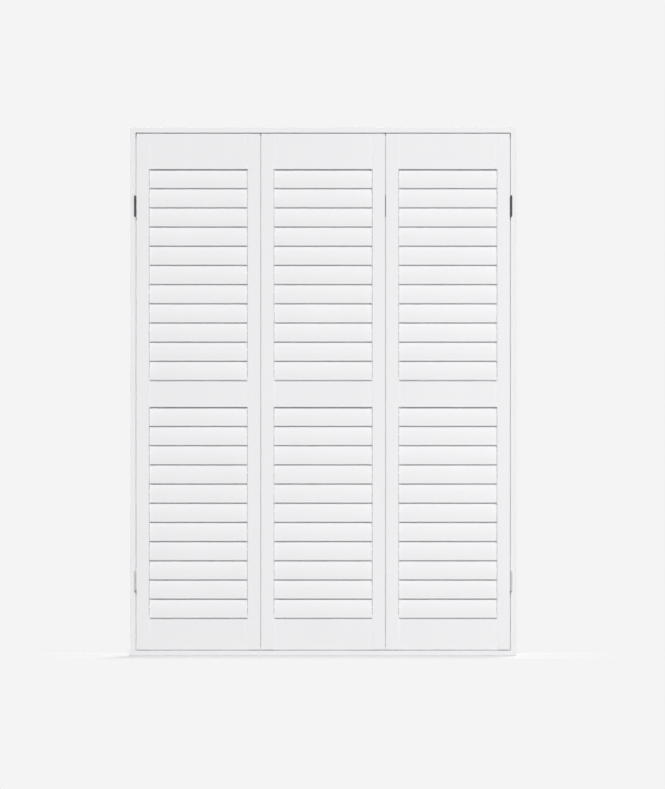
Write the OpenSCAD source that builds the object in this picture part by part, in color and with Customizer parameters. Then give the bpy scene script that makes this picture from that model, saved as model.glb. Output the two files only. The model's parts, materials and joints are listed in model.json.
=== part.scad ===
// Louvred shutters in a face-fixed frame: a single left panel beside a folding right pair.
// The front is -Y, the frame's back is the plane y = 0, +Z is up,
// and the origin is the centre of the frame's back.

/* [Frame] */
// Width of the frame seen from the front
frame_face = 21; // [16:1:40]
// Depth of the frame from its back to its front
frame_depth = 46; // [44:1:70]
// Reach of the stop behind the panels, from the frame's inner face
stop_reach = 12; // [10:1:20]
// Room between a closed panel and the stop
stop_clear = 2; // [1:0.5:4]
// Small flat along the front edges of the frame
frame_chamfer = 1; // [0.5:0.5:3]

/* [Wall fixings] */
// Radius of a fixing hole through the stop
fixing_r = 2.5; // [1.5:0.5:3]
// Radius of the countersink at the front of the stop
sink_r = 5; // [3.5:0.5:5.5]
// Depth of the countersink
sink_depth = 2.5; // [1:0.5:4]
// Distance of the outer fixings from the top and bottom of the frame
fixing_inset = 200; // [120:10:400]

/* [Panels] */
// Width of every panel
panel_w = 491; // [380:1:600]
// Gap between panels, and between a panel and the frame
panel_gap = 3; // [3:0.5:6]
// Width of a stile
stile_w = 50; // [40:1:70]
// Thickness of a stile
stile_t = 27; // [26:1:34]
// Small flat along the edges of a stile
stile_chamfer = 1; // [0.5:0.5:3]
// Height of the top rail down to its lip
top_rail_h = 141; // [110:1:200]
// Height of the middle rail between its lips
mid_rail_h = 102; // [80:1:160]
// Height of the bottom rail up to its lip
bottom_rail_h = 121; // [80:1:200]
// Thickness of a rail
rail_t = 21; // [18:1:25]
// Small flat along the front edges of a rail
rail_chamfer = 1; // [0.5:0.5:2]

/* [Louvres] */
// Louvres in each tier of a panel
louvre_count = 11; // [3:1:11]
// Distance from one louvre to the next
louvre_pitch = 76; // [70:1:80]
// Width of a louvre across its blade
louvre_w = 89; // [86:1:96]
// Thickness of a louvre at its middle
louvre_t = 9; // [9:0.5:12]
// Thickness of a louvre at its edges
louvre_edge = 5.8; // [4:0.2:5.8]
// Flat left on the nose between the slopes at a louvre's edges
louvre_nose = 2; // [0.8:0.2:2.6]
// Room between closed louvres where they overlap
louvre_gap = 2.15; // [1.5:0.05:3]
// Room between a louvre's end and the stile
louvre_end_gap = 2.5; // [0.5:0.5:3]
// Room between the lowest louvre and the rail below it
rail_floor_gap = 4; // [1:0.5:5]
// Radius of a louvre's pivot pin
pivot_r = 3; // [2:0.5:4]
// Length of a pivot pin inside the stile
pivot_depth = 10.5; // [6:0.5:16]
// Running room around a pivot pin
pivot_clear = 0.05; // [0.02:0.01:0.1]
// Room beyond the end of a pivot pin
pivot_end_clear = 1; // [0.5:0.5:3]

/* [Tilt bars] */
// Width of a tilt bar
bar_w = 12; // [8:1:20]
// Thickness of a tilt bar
bar_t = 2; // [1.5:0.5:3]
// Distance of a tilt bar from the end of the louvres
bar_inset = 22; // [12:1:80]
// Distance of a tilt bar behind its pins
bar_stand = 5; // [4.5:0.5:7]
// Length of a tilt bar past its end pins
bar_end = 4; // [3:0.5:8]
// Radius of a tilt pin
tilt_pin_r = 1.5; // [1:0.1:1.8]
// Running room around a tilt pin
tilt_clear = 0.08; // [0.02:0.01:0.1]
// Outer radius of a lug on the tilt bar
lug_r = 3; // [2.5:0.1:3.5]
// Thickness of a lug
lug_t = 3; // [2:0.5:5]
// Thickness of the ear on a louvre
ear_t = 2; // [1.5:0.5:3]
// Length of an ear's root on the back of the louvre
ear_root = 7; // [4:0.5:12]
// Room beside and in front of a lug
lug_clear = 0.6; // [0.4:0.1:1.5]
// Metal around the tilt pin on an ear
ear_wall = 1.2; // [0.8:0.1:1.6]
// Step from the round end of an ear or a lug to its straight sides
eye_step = 0.6; // [0.3:0.1:1]
// Room above a tilt bar in the rail's rabbet
rabbet_clear = 2; // [1:0.5:5]

/* [Hinges] */
// Length of a hinge
leaf_h = 76; // [50:1:100]
// Thickness of a hinge leaf
leaf_t = 1.2; // [0.8:0.1:1.3]
// Depth of a hinge leaf in the gap
leaf_depth = 22; // [14:1:24]
// Radius of a hinge barrel
barrel_r = 3.5; // [3.5:0.1:5]
// Room between a barrel and the face that it stands on
barrel_clear = 0.3; // [0.3:0.1:1]
// Distance of a jamb hinge's barrel from the middle of the gap, towards the jamb
barrel_outset = 4.5; // [3:0.5:5]
// Radius of a hinge pin
hinge_pin_r = 2; // [1.2:0.1:2.5]
// Running room around a hinge pin
hinge_pin_clear = 0.05; // [0.02:0.01:0.1]
// Room between two knuckles
knuckle_gap = 0.3; // [0.2:0.1:1]
// Height of the tip at each end of a hinge pin
tip_h = 4.5; // [1:0.5:6]
// Step from a barrel in to the base of a tip
tip_step = 0.2; // [0.1:0.1:1]
// Step from the base of a tip in to its end
tip_taper = 1.5; // [0.5:0.1:2]
// Distance of the upper hinges' middle from the top of the frame
upper_hinge_inset = 310; // [180:1:420]
// Distance of the lower hinges' middle from the bottom of the frame
lower_hinge_inset = 296; // [180:1:420]
// Radius of a screw hole in a hinge leaf
screw_r = 1.9; // [1.2:0.1:2.3]
// Radius of its countersink
screw_head_r = 3.3; // [2.6:0.1:4]
// Straight part of a screw hole under its countersink
screw_land = 0.3; // [0.2:0.1:0.5]
// Distance of the outer screw holes from the ends of a leaf
screw_end = 12; // [8:1:20]

/* [Hidden] */
$fn = 48;
LENS_FN = 360;
SIDES = ["left", "middle", "right"];
LEFT = 0;
RIGHT = 2;
UPPER = 0;
LOWER = 1;
CUT_OVER = 1;
PAINT = [0.94, 0.94, 0.945];
BLADE_PAINT = [0.92, 0.92, 0.925];
HINGE_WHITE = [0.83, 0.83, 0.84];
HINGE_DARK = [0.33, 0.32, 0.34];
BAR_PAINT = [0.86, 0.86, 0.87];

// Louvre section and closed angle
louvre_half = louvre_w / 2;
lens_rise = (louvre_t - louvre_edge) / 2;
lens_r = (pow(louvre_half, 2) + pow(lens_rise, 2)) / (2 * lens_rise);
closed_angle = asin((louvre_t + louvre_gap) / louvre_pitch - louvre_pitch / (4 * lens_r));
louvre_reach = louvre_half * cos(closed_angle);
louvre_overlap = 2 * louvre_reach - louvre_pitch;

// Heights, from the middle of the frame
tier_h = louvre_count * louvre_pitch + rail_floor_gap;
panel_h = top_rail_h + mid_rail_h + bottom_rail_h + 2 * tier_h;
panel_top = panel_h / 2;
tier_top = [panel_top - top_rail_h, panel_top - top_rail_h - tier_h - mid_rail_h];
tier_floor = [for (top = tier_top) top - tier_h];
frame_w = len(SIDES) * panel_w + (len(SIDES) + 1) * panel_gap + 2 * frame_face;
frame_h = panel_h + 2 * panel_gap + 2 * frame_face;
frame_section_w = frame_face + stop_reach;
stop_t = frame_depth - stile_t - stop_clear;
pivot_y = -frame_depth + stile_t / 2;
fixing_x = frame_w / 2 - frame_face - stop_reach / 2;
fixing_z = frame_h / 2 - fixing_inset;

// Louvres and the rails' lips
louvre_x = stile_w + louvre_end_gap;
louvre_len = panel_w - 2 * louvre_x;
lip_u = (louvre_pitch - louvre_reach) / cos(closed_angle);
lip_half = louvre_t / 2 - pow(lip_u, 2) / (2 * lens_r);
lip_back = lip_u * sin(closed_angle) - lip_half * cos(closed_angle) - louvre_gap;
rear_lip_h = rail_floor_gap + louvre_overlap;

// Tilt pins, in the louvre's own section and then at rest in the panel
tilt_u = louvre_half + lug_r + lug_clear;
tilt_v = lug_r / 2;
tilt_y = tilt_u * sin(closed_angle) + tilt_v * cos(closed_angle);
tilt_z = tilt_u * cos(closed_angle) - tilt_v * sin(closed_angle);
tilt_pin_len = lug_t + 2 * lug_clear + ear_t;
ear_r = tilt_pin_r + ear_wall;
ear_half = ear_r - eye_step;
lug_half = lug_r - eye_step;
rabbet_h = tilt_z + bar_end + rabbet_clear - (louvre_pitch - louvre_reach);

// Hinges
KNUCKLES = 5;
FIXED_KNUCKLES = [0, 2, 4];
MOVING_KNUCKLES = [1, 3];
knuckle_h = (leaf_h - (KNUCKLES - 1) * knuckle_gap) / KNUCKLES;
leaf_front = barrel_r + barrel_clear;
strap_y = barrel_r - leaf_t;
tip_base_r = barrel_r - tip_step;
tip_end_r = tip_base_r - tip_taper;
hinge_z = [frame_h / 2 - upper_hinge_inset, -frame_h / 2 + lower_hinge_inset];
jamb_hinge_x = frame_w / 2 - frame_face - panel_gap / 2 + barrel_outset;
jamb_hinge_y = -frame_depth - leaf_front;
fold_hinge_y = -frame_depth + stile_t + leaf_front;
jamb_plate_x = barrel_outset - panel_gap / 2;
swing_plate_x = barrel_outset + panel_gap / 2 - leaf_t;
fold_plate_x = panel_gap / 2 - leaf_t;
screw_y = leaf_front + leaf_depth / 2;
screw_spread = leaf_h / 2 - screw_end;
// Side of a hinge leaf on which its wood lies
WOOD_BEFORE = -1;
WOOD_AFTER = 1;

function panel_x(side) = -frame_w / 2 + frame_face + panel_gap + side * (panel_w + panel_gap);
function pivot_z(tier, k) = tier_top[tier] - k * louvre_pitch + louvre_reach;
function bar_x(side) = side == RIGHT ? panel_w - louvre_x - bar_inset : louvre_x + bar_inset;
function two_digits(k) = str(k < 10 ? "0" : "", k);
function louvre_name(side, k) = str(SIDES[side], "_louvre_", two_digits(k));

// Frame

// Section of the frame: x runs inwards from the outer edge, y from the front to the back
module frame_section() {
    polygon([
        [0, 0],
        [0, -frame_depth + frame_chamfer],
        [frame_chamfer, -frame_depth],
        [frame_face - frame_chamfer, -frame_depth],
        [frame_face, -frame_depth + frame_chamfer],
        [frame_face, -stop_t],
        [frame_section_w, -stop_t],
        [frame_section_w, 0]
    ]);
}

// Keeps what lies between the two mitres of a side whose outer edge is half_len long each way
module between_mitres(half_len) {
    inner = frame_section_w + CUT_OVER;
    intersection() {
        children();
        rotate([90, 0, 0])
            translate([0, 0, -CUT_OVER])
                linear_extrude(height = frame_depth + 2 * CUT_OVER)
                    polygon([
                        [-CUT_OVER, -half_len - CUT_OVER],
                        [inner, -half_len + inner],
                        [inner, half_len - inner],
                        [-CUT_OVER, half_len + CUT_OVER]
                    ]);
    }
}

module frame_side(length) {
    between_mitres(length / 2)
        linear_extrude(height = length, center = true)
            frame_section();
}

// Screw hole from z = 0 up through a wall of this thickness, countersunk at its top
module countersunk_hole(hole_r, head_r, depth, wall) {
    slope = (head_r - hole_r) / depth;
    translate([0, 0, -CUT_OVER])
        cylinder(r = hole_r, h = wall + 2 * CUT_OVER);
    translate([0, 0, wall - depth])
        cylinder(r1 = hole_r, r2 = head_r + CUT_OVER * slope, h = depth + CUT_OVER);
}

// Screw hole from the frame's back through the stop, countersunk at the stop's front
module fixing_hole() {
    rotate([90, 0, 0])
        countersunk_hole(fixing_r, sink_r, sink_depth, stop_t);
}

module frame_left_jamb() {
    color(PAINT)
        difference() {
            translate([-frame_w / 2, 0, 0])
                frame_side(frame_h);
            for (z = [-fixing_z, 0, fixing_z])
                translate([-fixing_x, 0, z])
                    fixing_hole();
        }
}

module frame_right_jamb() {
    mirror([1, 0, 0])
        frame_left_jamb();
}

module frame_head() {
    color(PAINT)
        translate([0, 0, frame_h / 2])
            rotate([0, 90, 0])
                frame_side(frame_w);
}

module frame_sill() {
    mirror([0, 0, 1])
        frame_head();
}

// Panels

module in_panel(side) {
    translate([panel_x(side), pivot_y, 0])
        children();
}

// Extrudes a section drawn in y and z along x
module along_x(length) {
    rotate([90, 0, 90])
        linear_extrude(height = length)
            children();
}

module stile_section() {
    half_t = stile_t / 2;
    polygon([
        [0, -half_t + stile_chamfer],
        [stile_chamfer, -half_t],
        [stile_w - stile_chamfer, -half_t],
        [stile_w, -half_t + stile_chamfer],
        [stile_w, half_t - stile_chamfer],
        [stile_w - stile_chamfer, half_t],
        [stile_chamfer, half_t],
        [0, half_t - stile_chamfer]
    ]);
}

// Left stile of a panel, bored from its inner edge for the louvres' pivot pins
module stile() {
    bore_depth = pivot_depth + pivot_end_clear;
    difference() {
        linear_extrude(height = panel_h, center = true)
            stile_section();
        for (tier = [UPPER, LOWER], k = [1:louvre_count])
            translate([stile_w - bore_depth, 0, pivot_z(tier, k)])
                rotate([0, 90, 0])
                    cylinder(r = pivot_r + pivot_clear, h = bore_depth + CUT_OVER);
    }
}

module panel_stiles(side) {
    color(PAINT)
        in_panel(side) {
            stile();
            translate([panel_w, 0, 0])
                mirror([1, 0, 0])
                    stile();
        }
}

// Top rail: a lip in front of the first louvre and a rabbet behind it
module top_rail_section() {
    half_t = rail_t / 2;
    lip = tier_top[UPPER];
    polygon([
        [-half_t, lip + rail_chamfer],
        [-half_t + rail_chamfer, lip],
        [lip_back, lip],
        [lip_back, lip + rabbet_h],
        [half_t, lip + rabbet_h],
        [half_t, panel_top],
        [-half_t, panel_top]
    ]);
}

// Middle rail: a lip behind the last upper louvre and a lip in front of the first lower one
module mid_rail_section() {
    half_t = rail_t / 2;
    lip = tier_top[LOWER];
    floor = tier_floor[UPPER];
    polygon([
        [-half_t, lip + rail_chamfer],
        [-half_t + rail_chamfer, lip],
        [lip_back, lip],
        [lip_back, lip + rabbet_h],
        [half_t, lip + rabbet_h],
        [half_t, floor + rear_lip_h],
        [-lip_back, floor + rear_lip_h],
        [-lip_back, floor],
        [-half_t + rail_chamfer, floor],
        [-half_t, floor - rail_chamfer]
    ]);
}

// Bottom rail: a lip behind the last louvre
module bottom_rail_section() {
    half_t = rail_t / 2;
    floor = tier_floor[LOWER];
    polygon([
        [-half_t, -panel_top],
        [half_t, -panel_top],
        [half_t, floor + rear_lip_h],
        [-lip_back, floor + rear_lip_h],
        [-lip_back, floor],
        [-half_t + rail_chamfer, floor],
        [-half_t, floor - rail_chamfer]
    ]);
}

module panel_rails(side) {
    color(PAINT)
        in_panel(side)
            translate([stile_w, 0, 0]) {
                rail_len = panel_w - 2 * stile_w;
                along_x(rail_len)
                    top_rail_section();
                along_x(rail_len)
                    mid_rail_section();
                along_x(rail_len)
                    bottom_rail_section();
            }
}

// Louvres, drawn about their pivot with the blade upright: z is across the blade, y is its thickness

module blade() {
    arc_offset = lens_r - louvre_t / 2;
    intersection() {
        blade_face(arc_offset);
        blade_face(-arc_offset);
        translate([louvre_x, 0, 0])
            along_x(louvre_len)
                blade_limits();
    }
}

// Outline that cuts the blade to its width, with a flat nose between two slopes at each edge
module blade_limits() {
    nose = louvre_nose / 2;
    wide = nose + louvre_t;
    shoulder = louvre_half - louvre_t;
    polygon([
        [-nose, louvre_half],
        [nose, louvre_half],
        [wide, shoulder],
        [wide, -shoulder],
        [nose, -louvre_half],
        [-nose, -louvre_half],
        [-wide, -shoulder],
        [-wide, shoulder]
    ]);
}

// One curved face of the blade, as the cylinder that it is part of
module blade_face(centre_y) {
    translate([louvre_x - CUT_OVER, centre_y, 0])
        rotate([0, 90, 0])
            cylinder(r = lens_r, h = louvre_len + 2 * CUT_OVER, $fn = LENS_FN);
}

module pivot_pin() {
    pin_len = louvre_len + 2 * (louvre_end_gap + pivot_depth);
    translate([stile_w - pivot_depth, 0, 0])
        rotate([0, 90, 0])
            cylinder(r = pivot_r, h = pin_len);
}

// Ear on the back edge of a louvre, with the pin that carries the tilt bar's lug
module tilt_ear(side) {
    ear_x = bar_x(side) + lug_t / 2 + lug_clear;
    root_u = louvre_half - ear_root;
    translate([ear_x, tilt_v - ear_half, root_u])
        cube([ear_t, 2 * ear_half, tilt_u - root_u]);
    translate([ear_x, tilt_v, tilt_u])
        rotate([0, 90, 0])
            cylinder(r = ear_r, h = ear_t);
    translate([ear_x + ear_t - tilt_pin_len, tilt_v, tilt_u])
        rotate([0, 90, 0])
            cylinder(r = tilt_pin_r, h = tilt_pin_len);
}

// One closed louvre at its place in a panel
module louvre(side, tier, k) {
    color(BLADE_PAINT)
        in_panel(side)
            translate([0, 0, pivot_z(tier, k)])
                rotate([-closed_angle, 0, 0])
                    union() {
                        blade();
                        pivot_pin();
                        tilt_ear(side);
                    }
}

// Tilt bar behind one tier: a flat strip with a bored lug at every louvre
module tilt_bar(side, tier) {
    strip_low = pivot_z(tier, louvre_count) + tilt_z - bar_end;
    strip_high = pivot_z(tier, 1) + tilt_z + bar_end;
    lug_reach = bar_stand + bar_t / 2;
    color(BAR_PAINT)
        in_panel(side)
            translate([bar_x(side), tilt_y, 0])
                difference() {
                    union() {
                        translate([-bar_w / 2, bar_stand, strip_low])
                            cube([bar_w, bar_t, strip_high - strip_low]);
                        for (k = [1:louvre_count])
                            translate([-lug_t / 2, 0, pivot_z(tier, k) + tilt_z]) {
                                translate([0, 0, -lug_half])
                                    cube([lug_t, lug_reach, 2 * lug_half]);
                                rotate([0, 90, 0])
                                    cylinder(r = lug_r, h = lug_t);
                            }
                    }
                    for (k = [1:louvre_count])
                        translate([-lug_t / 2 - CUT_OVER, 0, pivot_z(tier, k) + tilt_z])
                            rotate([0, 90, 0])
                                cylinder(r = tilt_pin_r + tilt_clear, h = lug_t + 2 * CUT_OVER);
                }
}

// The lower tier of a panel, louvres and tilt bar
module lower_louvres(side) {
    for (k = [1:louvre_count])
        louvre(side, LOWER, k);
    tilt_bar(side, LOWER);
}

// Hinges, drawn about their pin: straps behind the knuckles lead to the leaf, which runs towards +y

module hinge_leaf(plate_x, knuckles, wood) {
    wood_x = plate_x + (wood == WOOD_AFTER ? leaf_t : 0);
    difference() {
        union() {
            translate([plate_x, leaf_front, -leaf_h / 2])
                cube([leaf_t, leaf_depth, leaf_h]);
            for (k = knuckles)
                translate([0, 0, -leaf_h / 2 + k * (knuckle_h + knuckle_gap)]) {
                    cylinder(r = barrel_r, h = knuckle_h);
                    translate([0, strap_y, 0])
                        cube([plate_x + leaf_t, leaf_t, knuckle_h]);
                    translate([plate_x, strap_y, 0])
                        cube([leaf_t, leaf_front + leaf_t - strap_y, knuckle_h]);
                }
        }
        cylinder(r = hinge_pin_r + hinge_pin_clear, h = 2 * leaf_h, center = true);
        for (z = [-screw_spread, 0, screw_spread])
            translate([wood_x, screw_y, z])
                rotate([0, -90 * wood, 0])
                    countersunk_hole(screw_r, screw_head_r, leaf_t - screw_land, leaf_t);
    }
}

module hinge_pin() {
    cylinder(r = hinge_pin_r, h = leaf_h, center = true);
    for (up = [0, 1])
        mirror([0, 0, up])
            translate([0, 0, leaf_h / 2])
                cylinder(r1 = tip_base_r, r2 = tip_end_r, h = tip_h);
}

// Places a hinge on the left or the right jamb, with +x towards the panel
module at_jamb(side, tier) {
    mirror([side == RIGHT ? 1 : 0, 0, 0])
        translate([-jamb_hinge_x, jamb_hinge_y, hinge_z[tier]])
            children();
}

// Places a hinge behind the gap of the folding pair, with the leaf running forwards
module at_fold(tier) {
    translate([panel_x(RIGHT) - panel_gap / 2, fold_hinge_y, hinge_z[tier]])
        mirror([0, 1, 0])
            children();
}

module jamb_hinge_leaves(tier) {
    color(tier == UPPER ? HINGE_DARK : HINGE_WHITE)
        for (side = [LEFT, RIGHT])
            at_jamb(side, tier)
                hinge_leaf(jamb_plate_x, FIXED_KNUCKLES, WOOD_BEFORE);
}

module panel_hinge_leaf(side, tier) {
    color(tier == UPPER ? HINGE_DARK : HINGE_WHITE)
        at_jamb(side, tier)
            hinge_leaf(swing_plate_x, MOVING_KNUCKLES, WOOD_AFTER);
}

module hinge_pins(tier) {
    color(tier == UPPER ? HINGE_DARK : HINGE_WHITE)
        for (side = [LEFT, RIGHT])
            at_jamb(side, tier)
                hinge_pin();
}

module right_fold_hinge_leaves() {
    color(HINGE_WHITE)
        for (tier = [UPPER, LOWER])
            at_fold(tier)
                hinge_leaf(fold_plate_x, FIXED_KNUCKLES, WOOD_AFTER);
}

module middle_fold_hinge_leaves() {
    color(HINGE_WHITE)
        for (tier = [UPPER, LOWER])
            at_fold(tier)
                mirror([1, 0, 0])
                    hinge_leaf(fold_plate_x, MOVING_KNUCKLES, WOOD_AFTER);
}

module fold_hinge_pins() {
    color(HINGE_WHITE)
        for (tier = [UPPER, LOWER])
            at_fold(tier)
                hinge_pin();
}

frame_head();
frame_sill();
frame_left_jamb();
frame_right_jamb();
jamb_hinge_leaves(UPPER);  // upper_jamb_hinge_leaves
jamb_hinge_leaves(LOWER);  // lower_jamb_hinge_leaves
hinge_pins(UPPER);  // upper_hinge_pins
hinge_pins(LOWER);  // lower_hinge_pins
panel_hinge_leaf(LEFT, UPPER);  // left_upper_hinge_leaf
panel_hinge_leaf(LEFT, LOWER);  // left_lower_hinge_leaf
panel_hinge_leaf(RIGHT, UPPER);  // right_upper_hinge_leaf
panel_hinge_leaf(RIGHT, LOWER);  // right_lower_hinge_leaf
right_fold_hinge_leaves();
middle_fold_hinge_leaves();
fold_hinge_pins();
for (side = [LEFT:RIGHT]) {
    panel_stiles(side);
    panel_rails(side);
    tilt_bar(side, UPPER);
    lower_louvres(side);
    for (k = [1:louvre_count])
        louvre(side, UPPER, k);
}
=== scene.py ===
"""Looks for a set of louvred shutters in their frame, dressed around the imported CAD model.

Everything is in metres in the CAD model's own frame: the front is -Y, the frame's back is the
plane y = 0, +Z is up, and the origin is the middle of the frame's back.
"""

import json
import math

import bmesh
import bpy
from bpy.props import FloatProperty, FloatVectorProperty, PointerProperty
from mathutils import Matrix, Vector


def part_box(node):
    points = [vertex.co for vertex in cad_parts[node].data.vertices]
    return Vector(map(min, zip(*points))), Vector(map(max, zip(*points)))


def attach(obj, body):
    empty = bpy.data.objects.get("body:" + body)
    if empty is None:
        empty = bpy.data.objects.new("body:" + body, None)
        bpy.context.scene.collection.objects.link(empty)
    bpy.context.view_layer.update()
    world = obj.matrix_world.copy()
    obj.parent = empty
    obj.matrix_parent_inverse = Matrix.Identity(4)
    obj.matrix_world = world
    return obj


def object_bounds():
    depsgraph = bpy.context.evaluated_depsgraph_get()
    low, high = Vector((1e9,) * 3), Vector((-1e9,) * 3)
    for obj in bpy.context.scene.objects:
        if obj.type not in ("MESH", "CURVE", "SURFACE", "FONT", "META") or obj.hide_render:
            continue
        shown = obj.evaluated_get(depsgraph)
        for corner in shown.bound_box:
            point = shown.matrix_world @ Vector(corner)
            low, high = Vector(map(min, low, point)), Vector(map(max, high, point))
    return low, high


bl_info = {
    "name": "Louvred shutters",
    "version": (1, 0, 0),
    "blender": (4, 5, 0),
    "location": "3D View > Sidebar > Shutters",
    "description": "Paints a packed set of louvred shutters, fits its hinge screws and sets its stage",
    "category": "Object",
}

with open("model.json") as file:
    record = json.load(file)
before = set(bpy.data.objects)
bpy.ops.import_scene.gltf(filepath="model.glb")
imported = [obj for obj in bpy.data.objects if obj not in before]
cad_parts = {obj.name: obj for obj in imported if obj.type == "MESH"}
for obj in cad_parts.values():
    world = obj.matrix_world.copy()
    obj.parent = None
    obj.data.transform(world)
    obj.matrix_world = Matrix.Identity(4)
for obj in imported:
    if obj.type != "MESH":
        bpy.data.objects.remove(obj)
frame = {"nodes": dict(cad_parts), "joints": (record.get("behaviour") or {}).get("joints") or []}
CAD_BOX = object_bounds()

SIDES = ("left", "middle", "right")
HUNG_SIDES = ("left", "right")
LEVELS = ("upper", "lower")
FRAME_UPRIGHTS = ("frame_left_jamb", "frame_right_jamb")
FRAME_LEVELS = ("frame_head", "frame_sill")
FOLD_HINGES = ("right_fold_hinge_leaves", "middle_fold_hinge_leaves", "fold_hinge_pins")

# How each finish varies. A noise has a scale, a detail and a roughness. The marks are scaled by the
# material. What a finish puts out has the weights of the slow noise, the marks and the fine noise,
# and the number that is added to their sum.
FINISHES = {
    "satin_film": {
        "slow": (4.5, 3, 0.55),
        "marks": (1, 4, 0.6),
        "fine": (520, 1.5, 0.5),
        "worn": (1.6, 0.5, 0, -0.55),
        "roughness": (0.12, 0.16, 0, -0.08),
        "height": (0, 0.6, 0.4, 0),
    },
    "worked_metal": {
        "slow": (90, 3, 0.6),
        "marks": (1, 3, 0.6),
        "fine": (1500, 1, 0.5),
        "worn": (2.2, 0.4, 0, -0.95),
        "roughness": (0.22, 0.14, 0, -0.11),
        "height": (0, 0.5, 0.5, 0),
    },
}

# Gloss of the satin paint
PAINT_SPECULAR = 0.4

# Enamel: its tone where it is thin, its gloss, and the scales of its marks
ENAMEL_THIN = 0.95
ENAMEL_ROUGHNESS = 0.3
ENAMEL_COAT = 0.25
ENAMEL_COAT_ROUGHNESS = 0.2
ENAMEL_MARKS = (300, 300, 120)

# Dark metal: its tone where it is rubbed, its gloss on jamb and fold hinges, and the scales of its marks
METAL_RUBBED = 1.7
METAL_ROUGHNESS = 0.38
FOLD_ROUGHNESS = 0.35
METAL_SHARE = 0.55
METAL_MARKS = (1800, 1800, 60)

# Height of the marks on enamel and metal, in metres
HARDWARE_RELIEF = 0.00002

# Cross in a screw's head: half an arm's width and its reach as shares of the head's radius, and the
# size of the cross's floor as a share of its mouth
CROSS_ARM = 0.13
CROSS_REACH = 0.52
CROSS_FLOOR = 0.7

# Turns of the crosses in radians: the first one, from screw to screw, and from leaf to leaf
FIRST_TURN = 0.3
SCREW_TURN = 2.4
LEAF_TURN = 1

# Half size of the floor, its roughness, and the half size of a fade in a direction that doesn't fade
FLOOR_HALF = 30
FLOOR_ROUGHNESS = 0.9
UNFADED = 10

# Shares of free space before the glowing card of painted shade at which it starts to clear, and is clear
CARD_CLOSED = 0.25
CARD_FREE = 0.5

# Depth to the front and to the back in which one half of the sky blends into the other
SKY_BLEND = 0.3

# What the far lamps' settings start with, and the distance at which these lamps are drawn, in metres
SUNS = ("key", "back", "side")
SUN_DISTANCE = 6

# Size and place of the near lamp, in metres
FILL_SIZE = (1.5, 2.5)
FILL_PLACE = (2.6, -3.2, 0.2)

# The photograph's frame in pixels, and the pixel on which the middle of the shutters lies
IMAGE_W = 665
IMAGE_H = 789
MIDDLE_PIXEL = (323.15, 391.68)

# Width of the camera's sensor in millimetres, and how far it sees in metres
SENSOR_WIDTH = 36
VIEW_DEPTH = 200


def louvre_pitch():
    """Height from one louvre to the next, from the louvres' joints."""
    heights = {j["name"]: j["pos_m"][2] for j in frame["joints"]}
    return heights["left_louvre_01_tilt"] - heights["left_louvre_02_tilt"]


def panel_pitch():
    """Distance from one panel to the next."""
    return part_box("middle_panel_stiles")[0].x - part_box("left_panel_stiles")[0].x


class PaintSettings(bpy.types.PropertyGroup):
    """Paint of the frame, panels and louvres."""

    white: FloatVectorProperty(
        name="White",
        description="Colour of the satin paint on the frame, stiles and rails",
        subtype="COLOR", size=3, min=0, max=1, default=(0.87, 0.868, 0.882),
    )
    # The louvres carry the frame's paint; their white is set darker as painted shade on the louvres.
    louvre_white_shaded: FloatVectorProperty(
        name="Louvre white",
        description="Colour of the satin paint on the louvres",
        subtype="COLOR", size=3, min=0, max=1, default=(0.823, 0.821, 0.834),
    )
    drift: FloatProperty(
        name="Tone drift",
        description="How much darker the paint gets where its film is thin",
        subtype="FACTOR", min=0, max=0.2, default=0.022,
    )
    roughness: FloatProperty(
        name="Roughness",
        description="Roughness of the satin paint",
        subtype="FACTOR", min=0, max=1, default=0.42,
    )
    stroke_width: FloatProperty(
        name="Stroke width",
        description="Width of a brush mark across the piece",
        unit="LENGTH", min=0.0002, max=0.02, default=0.0022,
    )
    stroke_length: FloatProperty(
        name="Stroke length",
        description="Length of a brush mark along the piece",
        unit="LENGTH", min=0.01, max=1, default=0.16,
    )
    relief: FloatProperty(
        name="Relief",
        description="Height of the brush marks and the orange peel",
        unit="LENGTH", min=0, max=0.001, default=0.00006,
    )


class HardwareSettings(bpy.types.PropertyGroup):
    """Hinges, screws and tilt bars."""

    dark: FloatVectorProperty(
        name="Dark finish",
        description="Colour of the upper hinges",
        subtype="COLOR", size=3, min=0, max=1, default=(0.06, 0.058, 0.066),
    )
    # The lower hinges' white enamel is set greyer than the bars' enamel: painted shade on the hinges and
    # their screws.
    enamel: FloatVectorProperty(
        name="White enamel",
        description="Colour of the lower hinges",
        subtype="COLOR", size=3, min=0, max=1, default=(0.6, 0.6, 0.615),
    )
    bar: FloatVectorProperty(
        name="Bar enamel",
        description="Colour of the tilt bars",
        subtype="COLOR", size=3, min=0, max=1, default=(0.8, 0.8, 0.815),
    )
    leaf_thickness: FloatProperty(
        name="Leaf thickness",
        description="Thickness of a hinge leaf",
        unit="LENGTH", min=0.0005, max=0.004, default=0.0012,
    )
    leaf_depth: FloatProperty(
        name="Leaf depth",
        description="Depth of a hinge leaf's plate in the gap",
        unit="LENGTH", min=0.01, max=0.04, default=0.022,
    )
    screw_head: FloatProperty(
        name="Screw head",
        description="Radius of a hinge screw's head",
        unit="LENGTH", min=0.001, max=0.006, default=0.0031,
    )
    screw_shank: FloatProperty(
        name="Screw shank",
        description="Radius of a hinge screw's shank",
        unit="LENGTH", min=0.0005, max=0.004, default=0.0017,
    )
    screw_recess: FloatProperty(
        name="Cross depth",
        description="Depth of the cross in a screw's head",
        unit="LENGTH", min=0.0001, max=0.002, default=0.0007,
    )
    screw_spread: FloatProperty(
        name="Screw spread",
        description="Distance from a hinge's middle screw to its outer ones",
        unit="LENGTH", min=0.005, max=0.05, default=0.026,
    )


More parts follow.
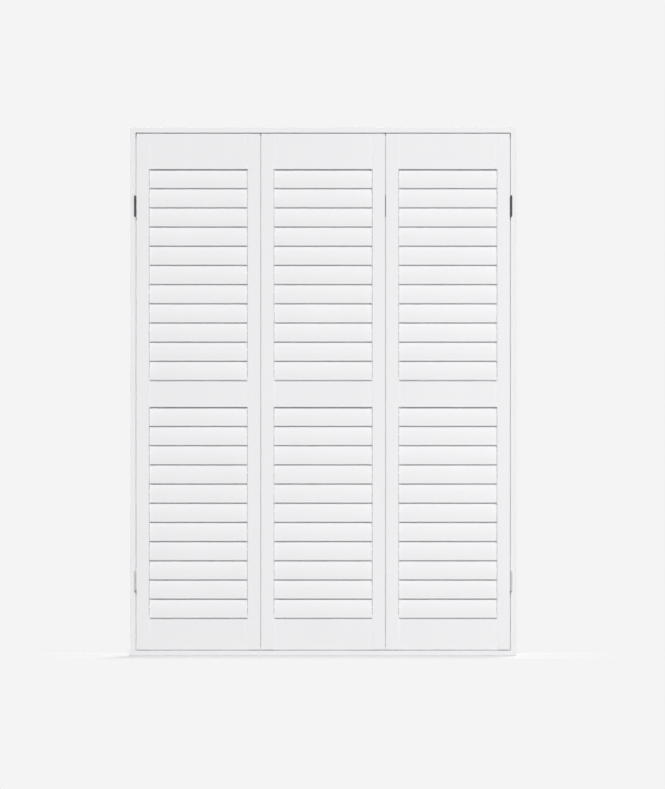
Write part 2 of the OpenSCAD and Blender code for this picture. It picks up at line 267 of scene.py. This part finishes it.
class StageSettings(bpy.types.PropertyGroup):
    """Floor, glowing card of painted shade behind the opening, lamps and camera."""

    backdrop: FloatVectorProperty(
        name="Backdrop",
        description="Colour of the floor and of the empty background",
        subtype="COLOR", size=3, min=0, max=1, default=(0.905, 0.905, 0.905),
    )
    # Painted shade: a glowing card behind the stiles shows this colour where the shutters close it off,
    # so the gaps between them look shaded.
    shade: FloatVectorProperty(
        name="Shade",
        description="Colour of the card behind the opening where the shutters close it off",
        subtype="COLOR", size=3, min=0, max=1, default=(0.52, 0.52, 0.53),
    )
    card_gap: FloatProperty(
        name="Card gap",
        description="Distance of the card behind the frame",
        unit="LENGTH", min=0.02, max=1, default=0.026,
    )
    # Within this reach the shutters darken the card's glow from the background colour towards the
    # painted shade.
    card_reach: FloatProperty(
        name="Card reach",
        description="Distance within which the shutters dim the card",
        unit="LENGTH", min=0.1, max=5, default=0.4,
    )
    card_band: FloatProperty(
        name="Card band",
        description="Half the width of the card's upright bands, which stand behind the stiles",
        unit="LENGTH", min=0.01, max=0.5, default=0.06,
    )
    card_fade: FloatProperty(
        name="Card fade",
        description="Width of the card's soft edges",
        unit="LENGTH", min=0.01, max=0.5, default=0.04,
    )
    floor_fade: FloatProperty(
        name="Floor fade",
        description="Distance from the frame in which the floor fades into the background",
        unit="LENGTH", min=0.1, max=10, default=0.6,
    )
    sky: FloatProperty(
        name="Sky",
        description="Strength of the even light from the front half of the sky",
        min=0, max=5, default=0.2,
    )
    back_sky: FloatProperty(
        name="Back sky",
        description="Strength of the even light from the back half of the sky",
        min=0, max=5, default=0.4,
    )
    key_strength: FloatProperty(
        name="Key strength",
        description="Strength of the soft light from above in front",
        min=0, max=10, default=2.56,
    )
    key_height: FloatProperty(
        name="Key height",
        description="Angle of the front light above the horizon",
        subtype="ANGLE", unit="ROTATION", min=0, max=math.pi / 2, default=math.radians(34),
    )
    key_turn: FloatProperty(
        name="Key turn",
        description="Angle of the front light to the right of the front",
        subtype="ANGLE", unit="ROTATION", min=-math.pi, max=math.pi, default=math.radians(1.5),
    )
    key_softness: FloatProperty(
        name="Key softness",
        description="Angle that the front light seems to fill",
        subtype="ANGLE", unit="ROTATION", min=0, max=math.pi / 2, default=math.radians(4),
    )
    back_strength: FloatProperty(
        name="Back strength",
        description="Strength of the soft light from above behind",
        min=0, max=10, default=1.7,
    )
    back_height: FloatProperty(
        name="Back height",
        description="Angle of the back light above the horizon",
        subtype="ANGLE", unit="ROTATION", min=0, max=math.pi / 2, default=math.radians(40),
    )
    back_turn: FloatProperty(
        name="Back turn",
        description="Angle of the back light to the right of the front",
        subtype="ANGLE", unit="ROTATION", min=-math.pi, max=math.pi, default=math.radians(165),
    )
    back_softness: FloatProperty(
        name="Back softness",
        description="Angle that the back light seems to fill",
        subtype="ANGLE", unit="ROTATION", min=0, max=math.pi / 2, default=math.radians(12),
    )
    side_strength: FloatProperty(
        name="Side strength",
        description="Strength of the soft light from the left",
        min=0, max=10, default=0.6,
    )
    side_height: FloatProperty(
        name="Side height",
        description="Angle of the side light above the horizon",
        subtype="ANGLE", unit="ROTATION", min=0, max=math.pi / 2, default=math.radians(15),
    )
    side_turn: FloatProperty(
        name="Side turn",
        description="Angle of the side light to the right of the front",
        subtype="ANGLE", unit="ROTATION", min=-math.pi, max=math.pi, default=math.radians(-90),
    )
    side_softness: FloatProperty(
        name="Side softness",
        description="Angle that the side light seems to fill",
        subtype="ANGLE", unit="ROTATION", min=0, max=math.pi / 2, default=math.radians(20),
    )
    fill: FloatProperty(
        name="Fill",
        description="Power of the lamp on the right, in watts",
        unit="POWER", min=0, max=2000, default=18,
    )
    camera_distance: FloatProperty(
        name="Camera distance",
        description="Distance of the camera in front of the frame's face",
        unit="LENGTH", min=2, max=100, default=40,
    )
    pixel: FloatProperty(
        name="Pixel",
        description="Size of the photograph's pixel on the frame's face",
        unit="LENGTH", min=0.0001, max=0.1, default=0.00396,
    )


class ShutterSettings(bpy.types.PropertyGroup):
    """All settings of the shutters."""

    paint: PointerProperty(type=PaintSettings, name="Paint", description="Paint settings")
    hardware: PointerProperty(type=HardwareSettings, name="Hardware", description="Hardware settings")
    stage: PointerProperty(type=StageSettings, name="Stage", description="Stage settings")


# Nodes shared by the materials


def rgba(colour, factor=1):
    """This colour times a factor, as the four numbers of a colour socket."""
    return (*(c * factor for c in colour), 1)


def feed(tree, socket, value):
    """Links a socket to another node's output, or sets its own value."""
    if isinstance(value, bpy.types.NodeSocket):
        tree.links.new(value, socket)
    else:
        socket.default_value = value


def set_inputs(tree, node, inputs):
    """Links or sets a node's inputs, by their names or numbers."""
    for key, value in inputs.items():
        feed(tree, node.inputs[key], value)


def add_node(tree, kind, inputs=None, **attributes):
    """A new node with its attributes set, and its inputs linked or set."""
    node = tree.nodes.new(kind)
    for name, value in attributes.items():
        setattr(node, name, value)
    set_inputs(tree, node, inputs or {})
    return node


def math_node(tree, operation, *values):
    """A Math node whose inputs are links or numbers. Returns its output."""
    node = add_node(tree, "ShaderNodeMath", dict(enumerate(values)), operation=operation)
    return node.outputs[0]


def along(tree, vector, axis):
    """A vector's number along this axis."""
    return add_node(tree, "ShaderNodeSeparateXYZ", {0: vector}).outputs[axis]


def soft_step(tree, value, start, end, low=0, high=1):
    """Goes softly from low to high while the value goes from start to end."""
    node = add_node(
        tree, "ShaderNodeMapRange",
        {"Value": value, "From Min": start, "From Max": end, "To Min": low, "To Max": high},
        interpolation_type="SMOOTHSTEP",
    )
    return node.outputs["Result"]


def mix_colour(tree, factor, first, second):
    """A colour mix whose inputs are links or colours. Returns its colour."""
    node = add_node(tree, "ShaderNodeMix", data_type="RGBA")
    sockets = {s.identifier: s for s in (*node.inputs, *node.outputs)}
    for key, value in (("Factor_Float", factor), ("A_Color", first), ("B_Color", second)):
        feed(tree, sockets[key], value)
    return sockets["Result_Color"]


def noise(tree, vector, scale, detail, roughness):
    """A noise texture on this vector. Returns its value."""
    node = add_node(
        tree, "ShaderNodeTexNoise",
        {"Vector": vector, "Scale": scale, "Detail": detail, "Roughness": roughness},
    )
    return node.outputs["Fac"]


def weighted(tree, values, weights):
    """The sum of these values times their weights, and of the last weight, which stands by itself."""
    *shares, total = weights
    for value, share in zip(values, shares):
        if share:
            total = math_node(tree, "MULTIPLY_ADD", value, share, total)
    return total


def show_mix(tree, factor, first, second, output):
    """Shows a mix of two shaders on the tree's output node."""
    mix = add_node(
        tree, "ShaderNodeMixShader", {0: factor, 1: first.outputs[0], 2: second.outputs[0]}
    )
    set_inputs(tree, tree.nodes[output], {"Surface": mix.outputs[0]})


def new_group(name, inputs, outputs):
    """An empty node group with these named sockets. Returns the group and its two end nodes."""
    group = bpy.data.node_groups.new(name, "ShaderNodeTree")
    for way, sockets in (("INPUT", inputs), ("OUTPUT", outputs)):
        for label, kind in sockets.items():
            group.interface.new_socket(name=label, in_out=way, socket_type=f"NodeSocket{kind}")
    return group, group.nodes.new("NodeGroupInput"), group.nodes.new("NodeGroupOutput")


def finish_group(name):
    """A finish with slow changes, marks along the piece and fine grain, such as brushed satin paint."""
    if name in bpy.data.node_groups:
        return bpy.data.node_groups[name]
    group, start, end = new_group(
        name,
        {
            "Position": "Vector", "Marks": "Vector",
            "Colour": "Color", "Worn Colour": "Color", "Base Roughness": "Float",
        },
        {"Colour": "Color", "Roughness": "Float", "Height": "Float"},
    )
    finish = FINISHES[name]
    given = start.outputs
    noises = [
        noise(group, given[place], *finish[kind])
        for kind, place in (("slow", "Position"), ("marks", "Marks"), ("fine", "Position"))
    ]
    worn, rough, height = (
        weighted(group, noises, finish[kind]) for kind in ("worn", "roughness", "height")
    )
    set_inputs(group, end, {
        "Colour": mix_colour(group, worn, given["Colour"], given["Worn Colour"]),
        "Roughness": math_node(group, "ADD", rough, given["Base Roughness"]),
        "Height": height,
    })
    return group


# Materials


def new_material(name):
    """An empty material. Returns it, its tree, its Principled shader and its object coordinates."""
    material = bpy.data.materials.new(name)
    material.use_nodes = True
    tree = material.node_tree
    shader = tree.nodes["Principled BSDF"]
    position = add_node(tree, "ShaderNodeTexCoord").outputs["Object"]
    return material, tree, shader, position


def apply_finish(tree, shader, position, finish, colour, worn, roughness, stretch, relief):
    """Feeds a finish to the shader, with its marks stretched by these scales."""
    marks = add_node(tree, "ShaderNodeMapping", {"Vector": position, "Scale": stretch})
    group = add_node(
        tree, "ShaderNodeGroup",
        {
            "Position": position, "Marks": marks.outputs["Vector"],
            "Colour": colour, "Worn Colour": worn, "Base Roughness": roughness,
        },
        node_tree=finish_group(finish),
    )
    bump = add_node(
        tree, "ShaderNodeBump",
        {"Strength": 1, "Distance": relief, "Height": group.outputs["Height"]},
    )
    set_inputs(tree, shader, {
        "Base Color": group.outputs["Colour"],
        "Roughness": group.outputs["Roughness"],
        "Normal": bump.outputs["Normal"],
    })


def stroke_scales(paint, upright):
    """Scales that draw the brush marks out along z for upright pieces, and along x for level ones."""
    across, lengthwise = 1 / paint.stroke_width, 1 / paint.stroke_length
    return (across, across, lengthwise) if upright else (lengthwise, across, across)


def wood_paint(name, paint, upright):
    """White satin paint, brushed along upright or level pieces."""
    material, tree, shader, position = new_material(name)
    apply_finish(
        tree, shader, position, "satin_film", rgba(paint.white), rgba(paint.white, 1 - paint.drift),
        paint.roughness, stroke_scales(paint, upright), paint.relief,
    )
    set_inputs(tree, shader, {"Specular IOR Level": PAINT_SPECULAR})
    return material


def louvre_paint(name, paint):
    """White satin paint, set darker than the frame's white as painted shade, with a tone of its own for
    every louvre.
    """
    material, tree, shader, position = new_material(name)
    white = paint.louvre_white_shaded
    low_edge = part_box("left_louvre_11")[0].z
    row = math_node(tree, "SUBTRACT", along(tree, position, "Z"), low_edge)
    row = math_node(tree, "FLOOR", math_node(tree, "DIVIDE", row, louvre_pitch()))
    column = math_node(tree, "DIVIDE", along(tree, position, "X"), panel_pitch())
    column = math_node(tree, "ROUND", column)
    cell = add_node(tree, "ShaderNodeCombineXYZ", {"X": column, "Y": row})
    chance = add_node(
        tree, "ShaderNodeTexWhiteNoise", {"Vector": cell.outputs[0]}, noise_dimensions="3D"
    )
    tone = mix_colour(
        tree, chance.outputs["Value"], rgba(white), rgba(white, 1 - paint.drift / 2)
    )
    apply_finish(
        tree, shader, position, "satin_film", tone, rgba(white, 1 - paint.drift),
        paint.roughness, stroke_scales(paint, False), paint.relief,
    )
    set_inputs(tree, shader, {"Specular IOR Level": PAINT_SPECULAR})
    return material


def enamel(name, colour):
    """White stoved enamel on sheet metal."""
    material, tree, shader, position = new_material(name)
    apply_finish(
        tree, shader, position, "satin_film", rgba(colour), rgba(colour, ENAMEL_THIN),
        ENAMEL_ROUGHNESS, ENAMEL_MARKS, HARDWARE_RELIEF,
    )
    set_inputs(tree, shader, {"Coat Weight": ENAMEL_COAT, "Coat Roughness": ENAMEL_COAT_ROUGHNESS})
    return material


def dark_metal(name, colour):
    """Dark satin hinge metal, a little brighter where it is rubbed."""
    material, tree, shader, position = new_material(name)
    apply_finish(
        tree, shader, position, "worked_metal", rgba(colour), rgba(colour, METAL_RUBBED),
        METAL_ROUGHNESS, METAL_MARKS, HARDWARE_RELIEF,
    )
    set_inputs(tree, shader, {"Metallic": METAL_SHARE})
    return material


def fold_metal(name, dark, white):
    """Finish of the fold hinges: dark on the upper ones, white enamel set greyer as painted shade on the
    lower ones.
    """
    material, tree, shader, position = new_material(name)
    upper = math_node(tree, "GREATER_THAN", along(tree, position, "Z"), 0)
    base = mix_colour(tree, upper, rgba(white), rgba(dark))
    rubbed = mix_colour(tree, upper, rgba(white, ENAMEL_THIN), rgba(dark, METAL_RUBBED))
    apply_finish(
        tree, shader, position, "worked_metal", base, rubbed,
        FOLD_ROUGHNESS, METAL_MARKS, HARDWARE_RELIEF,
    )
    set_inputs(tree, shader, {"Metallic": math_node(tree, "MULTIPLY", upper, METAL_SHARE)})
    return material


def finish_node(node, material):
    """Gives a CAD node this material in every slot."""
    slots = frame["nodes"][node].material_slots
    if not slots:
        raise RuntimeError(f"{node} has no material slot")
    for slot in slots:
        slot.material = material


# Operators, one for each group of like pieces


class SHUTTERS_OT_paint_frame(bpy.types.Operator):
    """Paint the frame's head, sill and jambs along their lengths"""

    bl_idname = "shutters.paint_frame"
    bl_label = "Paint the frame"

    def execute(self, context):
        paint = context.scene.shutters.paint
        upright = wood_paint("frame_paint_upright", paint, True)
        level = wood_paint("frame_paint_level", paint, False)
        for node in FRAME_UPRIGHTS:
            finish_node(node, upright)
        for node in FRAME_LEVELS:
            finish_node(node, level)
        return {"FINISHED"}


class SHUTTERS_OT_paint_panels(bpy.types.Operator):
    """Paint the stiles upright and the rails level"""

    bl_idname = "shutters.paint_panels"
    bl_label = "Paint the panels"

    def execute(self, context):
        paint = context.scene.shutters.paint
        upright = wood_paint("stile_paint", paint, True)
        level = wood_paint("rail_paint", paint, False)
        for side in SIDES:
            finish_node(f"{side}_panel_stiles", upright)
            finish_node(f"{side}_panel_rails", level)
        return {"FINISHED"}


class SHUTTERS_OT_paint_louvres(bpy.types.Operator):
    """Paint the louvres of both tiers"""

    bl_idname = "shutters.paint_louvres"
    bl_label = "Paint the louvres"

    def execute(self, context):
        material = louvre_paint("louvre_paint_level", context.scene.shutters.paint)
        louvres = [n for n in frame["nodes"] if "_louvre" in n]
        if not louvres:
            raise RuntimeError("the frame has no louvres")
        for node in louvres:
            finish_node(node, material)
        return {"FINISHED"}


class SHUTTERS_OT_finish_tilt_bars(bpy.types.Operator):
    """Enamel the tilt bars behind the upper tiers"""

    bl_idname = "shutters.finish_tilt_bars"
    bl_label = "Finish the tilt bars"

    def execute(self, context):
        material = enamel("bar_enamel", context.scene.shutters.hardware.bar)
        for side in SIDES:
            finish_node(f"{side}_tilt_bar", material)
        return {"FINISHED"}


class SHUTTERS_OT_finish_hinges(bpy.types.Operator):
    """Finish the upper hinges dark and the lower hinges in white enamel that is set greyer as painted
    shade
    """

    bl_idname = "shutters.finish_hinges"
    bl_label = "Finish the hinges"

    def execute(self, context):
        hardware = context.scene.shutters.hardware
        finishes = {
            "upper": dark_metal("dark_hinge_metal", hardware.dark),
            "lower": enamel("hinge_enamel", hardware.enamel),
        }
        for level in LEVELS:
            finish_node(f"{level}_jamb_hinge_leaves", finishes[level])
            finish_node(f"{level}_hinge_pins", finishes[level])
            for side in HUNG_SIDES:
                finish_node(f"{side}_{level}_hinge_leaf", finishes[level])
        fold = fold_metal("fold_hinge_metal", hardware.dark, hardware.enamel)
        for node in FOLD_HINGES:
            finish_node(node, fold)
        return {"FINISHED"}


def verts_in(geom):
    """The vertices in what a bmesh operator gives back."""
    return [g for g in geom if isinstance(g, bmesh.types.BMVert)]


def screw_mesh(hardware):
    """A countersunk screw with a cross in its head, its top on z = 0 and its axis on z."""
    bm = bmesh.new()
    head = hardware.screw_head
    arm, reach = CROSS_ARM * head, CROSS_REACH * head
    lines = (-head, -reach, -arm, arm, reach, head)
    cells = len(lines) - 1
    bmesh.ops.create_grid(bm, x_segments=cells, y_segments=cells, size=cells / 2)
    for vert in bm.verts:
        column, row = (round(c + cells / 2) for c in vert.co.xy)
        vert.co = (lines[column], lines[row], 0)
    for vert in bm.verts:
        if vert.is_boundary:
            vert.co = vert.co.normalized() * head
    cross = []
    for face in bm.faces:
        near, far = sorted(map(abs, face.calc_center_median().xy))
        if near < arm and far < reach:
            cross.append(face)
    floor = verts_in(bmesh.ops.extrude_face_region(bm, geom=cross)["geom"])
    bmesh.ops.translate(bm, verts=floor, vec=(0, 0, -hardware.screw_recess))
    bmesh.ops.scale(bm, verts=floor, vec=(CROSS_FLOOR, CROSS_FLOOR, 1))
    rim = [e for e in bm.edges if e.is_boundary]
    flank = verts_in(bmesh.ops.extrude_edge_only(bm, edges=rim)["geom"])
    shrink = hardware.screw_shank / head
    bmesh.ops.scale(bm, verts=flank, vec=(shrink, shrink, 1))
    bmesh.ops.translate(bm, verts=flank, vec=(0, 0, -hardware.leaf_thickness))
    bmesh.ops.holes_fill(bm, edges=[e for e in bm.edges if e.is_boundary], sides=0)
    bmesh.ops.recalc_face_normals(bm, faces=bm.faces)
    mesh = bpy.data.meshes.new("hinge_screw")
    bm.to_mesh(mesh)
    bm.free()
    return mesh


def screw_row(bm, template, place, facing, spread, turn):
    """Adds a hinge leaf's three screws, which face along x and are spread along z."""
    aim = Vector((facing, 0, 0)).to_track_quat("Z", "Y").to_matrix().to_4x4()
    for step in (-1, 0, 1):
        known = set(bm.verts)
        bm.from_mesh(template)
        added = [v for v in bm.verts if v not in known]
        at = Matrix.Translation(place + Vector((0, 0, step * spread)))
        spin = Matrix.Rotation(turn + step * SCREW_TURN, 4, "Z")
        bmesh.ops.transform(bm, matrix=at @ aim @ spin, verts=added)


def leaf_places(hardware, level):
    """Each body's hinge leaves on a level: the middle of its screws' row and the way they face."""
    leaf = hardware.leaf_thickness
    half_depth = hardware.leaf_depth / 2
    low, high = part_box(f"{level}_hinge_pins")
    z = (low.z + high.z) / 2
    jamb_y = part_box(f"left_{level}_hinge_leaf")[1].y - half_depth
    fold_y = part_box("right_fold_hinge_leaves")[0].y + half_depth
    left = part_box("left_panel_stiles")[0].x
    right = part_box("right_panel_stiles")[1].x
    middle_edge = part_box("middle_panel_stiles")[1].x
    right_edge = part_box("right_panel_stiles")[0].x
    gap = right_edge - middle_edge
    return {
        "frame": [
            (Vector((left - gap + leaf, jamb_y, z)), 1),
            (Vector((right + gap - leaf, jamb_y, z)), -1),
        ],
        "left_panel": [(Vector((left - leaf, jamb_y, z)), -1)],
        "right_panel": [
            (Vector((right + leaf, jamb_y, z)), 1),
            (Vector((right_edge - leaf, fold_y, z)), -1),
        ],
        "middle_panel": [(Vector((middle_edge + leaf, fold_y, z)), 1)],
    }


def add_object(context, name, bm, material):
    """Turns a bmesh into an object at the origin, with this material."""
    mesh = bpy.data.meshes.new(name)
    bm.to_mesh(mesh)
    bm.free()
    mesh.materials.append(material)
    piece = bpy.data.objects.new(name, mesh)
    context.scene.collection.objects.link(piece)
    return piece


class SHUTTERS_OT_fit_hinge_screws(bpy.types.Operator):
    """Drive three countersunk screws through every hinge leaf"""

    bl_idname = "shutters.fit_hinge_screws"
    bl_label = "Fit the hinge screws"

    def execute(self, context):
        hardware = context.scene.shutters.hardware
        template = screw_mesh(hardware)
        finishes = {
            "upper": (dark_metal("dark_screw_metal", hardware.dark), "dark_hinge"),
            "lower": (enamel("screw_enamel", hardware.enamel), "white_hinge"),
        }
        turn = FIRST_TURN
        for level in LEVELS:
            material, slot = finishes[level]
            for body, places in leaf_places(hardware, level).items():
                bm = bmesh.new()
                for place, facing in places:
                    screw_row(bm, template, place, facing, hardware.screw_spread, turn)
                    turn += LEAF_TURN
                screws = add_object(context, f"{body}_{level}_screws", bm, material)
                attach(screws, body)
        bpy.data.meshes.remove(template)
        return {"FINISHED"}


# Stage


def fade_group():
    """How far a point of the stage has faded: 0 in a box about the origin, 1 past the soft edge."""
    name = "stage_fade"
    if name in bpy.data.node_groups:
        return bpy.data.node_groups[name]
    group, start, end = new_group(
        name,
        {"Position": "Vector", "Half Size": "Vector", "Softness": "Float"},
        {"Fade": "Float"},
    )
    past = start.outputs["Position"]
    for operation, others in (
        ("ABSOLUTE", {}), ("SUBTRACT", {1: start.outputs["Half Size"]}), ("MAXIMUM", {1: (0, 0, 0)}),
    ):
        node = add_node(group, "ShaderNodeVectorMath", {0: past, **others}, operation=operation)
        past = node.outputs["Vector"]
    length = add_node(group, "ShaderNodeVectorMath", {0: past}, operation="LENGTH")
    fade = soft_step(group, length.outputs["Value"], 0, start.outputs["Softness"])
    set_inputs(group, end, {"Fade": fade})
    return group


def faded(tree, position, half_size, softness):
    """The fade of a stage material past a box of this half size."""
    node = add_node(
        tree, "ShaderNodeGroup",
        {"Position": position, "Half Size": half_size, "Softness": softness},
        node_tree=fade_group(),
    )
    return node.outputs["Fade"]


def seen_rays(tree):
    """1 for rays that show the background: from the camera, or through gloss and glass."""
    path = add_node(tree, "ShaderNodeLightPath")
    seen = math_node(
        tree, "MAXIMUM", path.outputs["Is Camera Ray"], path.outputs["Is Glossy Ray"]
    )
    return math_node(tree, "MAXIMUM", seen, path.outputs["Is Transmission Ray"])


def sun_values(stage, sun):
    """A far lamp's strength, height above the horizon, turn from the front and softness."""
    values = ("strength", "height", "turn", "softness")
    return [getattr(stage, f"{sun}_{value}") for value in values]


def floor_material(stage):
    """Matt floor that keeps the shadow near the frame and fades into the background.

    Where it is fully lit, it has the background's own colour.
    """
    material, tree, shader, position = new_material("floor_paper")
    lit = (stage.sky + stage.back_sky) / 2
    for sun in SUNS:
        strength, height, _, _ = sun_values(stage, sun)
        lit += strength * math.sin(height) / math.pi
    set_inputs(tree, shader, {
        "Base Color": rgba(stage.backdrop, min(1, 1 / lit)),
        "Roughness": FLOOR_ROUGHNESS,
        "Specular IOR Level": 0,
        "Emission Color": rgba(stage.backdrop),
        "Emission Strength": max(0, 1 - lit),
    })
    glow = add_node(tree, "ShaderNodeEmission", {"Color": rgba(stage.backdrop)})
    low, high = CAD_BOX
    fade = faded(tree, position, (high.x, -low.y, UNFADED), stage.floor_fade)
    fade = math_node(tree, "MULTIPLY", fade, seen_rays(tree))
    show_mix(tree, fade, shader, glow, "Material Output")
    return material


def painted_shade_material(stage, half_size):
    """Glowing upright bands behind the stiles, which paint the shade seen through the gaps: dim where
    the shutters close them off, clear where they are free.

    Their edges are soft, and they can't be seen from behind.
    """
    material, tree, shader, position = new_material("card_paper")
    tree.nodes.remove(shader)
    free = add_node(tree, "ShaderNodeAmbientOcclusion", {"Distance": stage.card_reach}).outputs["AO"]
    # Painted shade: the glow goes from the shade colour to the background colour as the space before the
    # card gets freer.
    tone = mix_colour(tree, free, rgba(stage.shade), rgba(stage.backdrop))
    glow = add_node(tree, "ShaderNodeEmission", {"Color": tone})
    clear = add_node(tree, "ShaderNodeBsdfTransparent")
    half_pitch = panel_pitch() / 2
    from_middle = math_node(tree, "PINGPONG", along(tree, position, "X"), half_pitch)
    from_gap = math_node(tree, "SUBTRACT", half_pitch, from_middle)
    fade = faded(tree, position, half_size, stage.card_fade)
    for other in (
        soft_step(tree, from_gap, stage.card_band, stage.card_band + stage.card_fade),
        soft_step(tree, free, CARD_CLOSED, CARD_FREE),
        add_node(tree, "ShaderNodeNewGeometry").outputs["Backfacing"],
    ):
        fade = math_node(tree, "MAXIMUM", fade, other)
    show_mix(tree, fade, glow, clear, "Material Output")
    return material


def stage_plane(context, name, half, turn, place, material):
    """A square of the stage, turned and moved into place."""
    bm = bmesh.new()
    bmesh.ops.create_grid(bm, x_segments=1, y_segments=1, size=half)
    bmesh.ops.transform(bm, matrix=Matrix.Translation(place) @ turn, verts=bm.verts)
    plane = add_object(context, name, bm, material)
    return plane


def set_world(context, stage):
    """Even light from the front and from the back, and the plain background that the camera sees."""
    world = bpy.data.worlds.new("studio")
    world.use_nodes = True
    tree = world.node_tree
    direction = add_node(tree, "ShaderNodeTexCoord").outputs["Generated"]
    strength = soft_step(
        tree, along(tree, direction, "Y"), -SKY_BLEND, SKY_BLEND, stage.sky, stage.back_sky
    )
    light = tree.nodes["Background"]
    set_inputs(tree, light, {"Color": (1, 1, 1, 1), "Strength": strength})
    shown = add_node(tree, "ShaderNodeBackground", {"Color": rgba(stage.backdrop)})
    show_mix(tree, seen_rays(tree), light, shown, "World Output")
    context.scene.world = world


def add_lamp(context, light, place):
    """Hangs a light at this place, aimed at the origin."""
    lamp = bpy.data.objects.new(light.name, light)
    lamp.location = place
    lamp.rotation_euler = (-place).to_track_quat("-Z", "Y").to_euler()
    context.scene.collection.objects.link(lamp)


def add_lamps(context, stage):
    """The soft far lamps in front, behind and on the left, and a near fill on the right."""
    for name in SUNS:
        strength, height, turn, softness = sun_values(stage, name)
        level = math.cos(height)
        towards = Vector((math.sin(turn) * level, -math.cos(turn) * level, math.sin(height)))
        sun = bpy.data.lights.new(name, "SUN")
        sun.energy = strength
        sun.angle = softness
        add_lamp(context, sun, towards * SUN_DISTANCE)
    fill = bpy.data.lights.new("fill", "AREA")
    fill.shape = "RECTANGLE"
    fill.size, fill.size_y = FILL_SIZE
    fill.energy = stage.fill
    add_lamp(context, fill, Vector(FILL_PLACE))


def add_camera(context, stage):
    """Camera straight in front, with the shutters where the photograph has them."""
    camera = bpy.data.cameras.new("front")
    camera.sensor_width = SENSOR_WIDTH
    camera.lens = SENSOR_WIDTH * stage.camera_distance / (IMAGE_H * stage.pixel)
    camera.clip_end = VIEW_DEPTH
    eye = bpy.data.objects.new("front", camera)
    middle = (CAD_BOX[0] + CAD_BOX[1]) / 2
    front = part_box("frame_head")[0].y
    eye.location = (
        middle.x + (IMAGE_W / 2 - MIDDLE_PIXEL[0]) * stage.pixel,
        front - stage.camera_distance,
        middle.z - (IMAGE_H / 2 - MIDDLE_PIXEL[1]) * stage.pixel,
    )
    eye.rotation_euler = (math.radians(90), 0, 0)
    context.scene.collection.objects.link(eye)
    context.scene.camera = eye


class SHUTTERS_OT_set_stage(bpy.types.Operator):
    """Set the floor, a glowing card of painted shade behind the opening, the lamps, the background and
    the camera
    """

    bl_idname = "shutters.set_stage"
    bl_label = "Set the stage"

    def execute(self, context):
        stage = context.scene.shutters.stage
        low, high = CAD_BOX
        floor = stage_plane(
            context, "floor", FLOOR_HALF, Matrix.Identity(4), Vector((0, 0, low.z)),
            floor_material(stage),
        )
        floor.visible_diffuse = False
        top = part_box("frame_head")[0].z - stage.card_fade / 2
        half_size = (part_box("right_louvre_01")[1].x, UNFADED, top)
        card = stage_plane(
            context, "card", high.z, Matrix.Rotation(math.radians(90), 4, "X"),
            Vector((0, high.y + stage.card_gap, 0)), painted_shade_material(stage, half_size),
        )
        for ray in ("diffuse", "glossy", "transmission", "volume_scatter", "shadow"):
            setattr(card, f"visible_{ray}", False)
        set_world(context, stage)
        add_lamps(context, stage)
        add_camera(context, stage)
        context.scene.view_settings.view_transform = "Standard"
        return {"FINISHED"}


class SHUTTERS_PT_sidebar(bpy.types.Panel):
    """Settings and steps of the shutters"""

    bl_idname = "SHUTTERS_PT_sidebar"
    bl_label = "Louvred shutters"
    bl_space_type = "VIEW_3D"
    bl_region_type = "UI"
    bl_category = "Shutters"

    def draw(self, context):
        settings = context.scene.shutters
        for group in (settings.paint, settings.hardware, settings.stage):
            box = self.layout.box()
            for name in group.__annotations__:
                box.prop(group, name)
        for step in STEPS:
            self.layout.operator(step.bl_idname)


STEPS = (
    SHUTTERS_OT_paint_frame,
    SHUTTERS_OT_paint_panels,
    SHUTTERS_OT_paint_louvres,
    SHUTTERS_OT_finish_tilt_bars,
    SHUTTERS_OT_finish_hinges,
    SHUTTERS_OT_fit_hinge_screws,
    SHUTTERS_OT_set_stage,
)
CLASSES = (
    PaintSettings, HardwareSettings, StageSettings, ShutterSettings, *STEPS, SHUTTERS_PT_sidebar,
)


def register():
    for cls in CLASSES:
        bpy.utils.register_class(cls)
    bpy.types.Scene.shutters = PointerProperty(type=ShutterSettings)


def unregister():
    del bpy.types.Scene.shutters
    for cls in reversed(CLASSES):
        bpy.utils.unregister_class(cls)


def main():
    register()
    bpy.ops.shutters.paint_frame()
    bpy.ops.shutters.paint_panels()
    bpy.ops.shutters.paint_louvres()
    bpy.ops.shutters.finish_tilt_bars()
    bpy.ops.shutters.finish_hinges()
    bpy.ops.shutters.fit_hinge_screws()
    bpy.ops.shutters.set_stage()


if __name__ == "__main__":
    main()
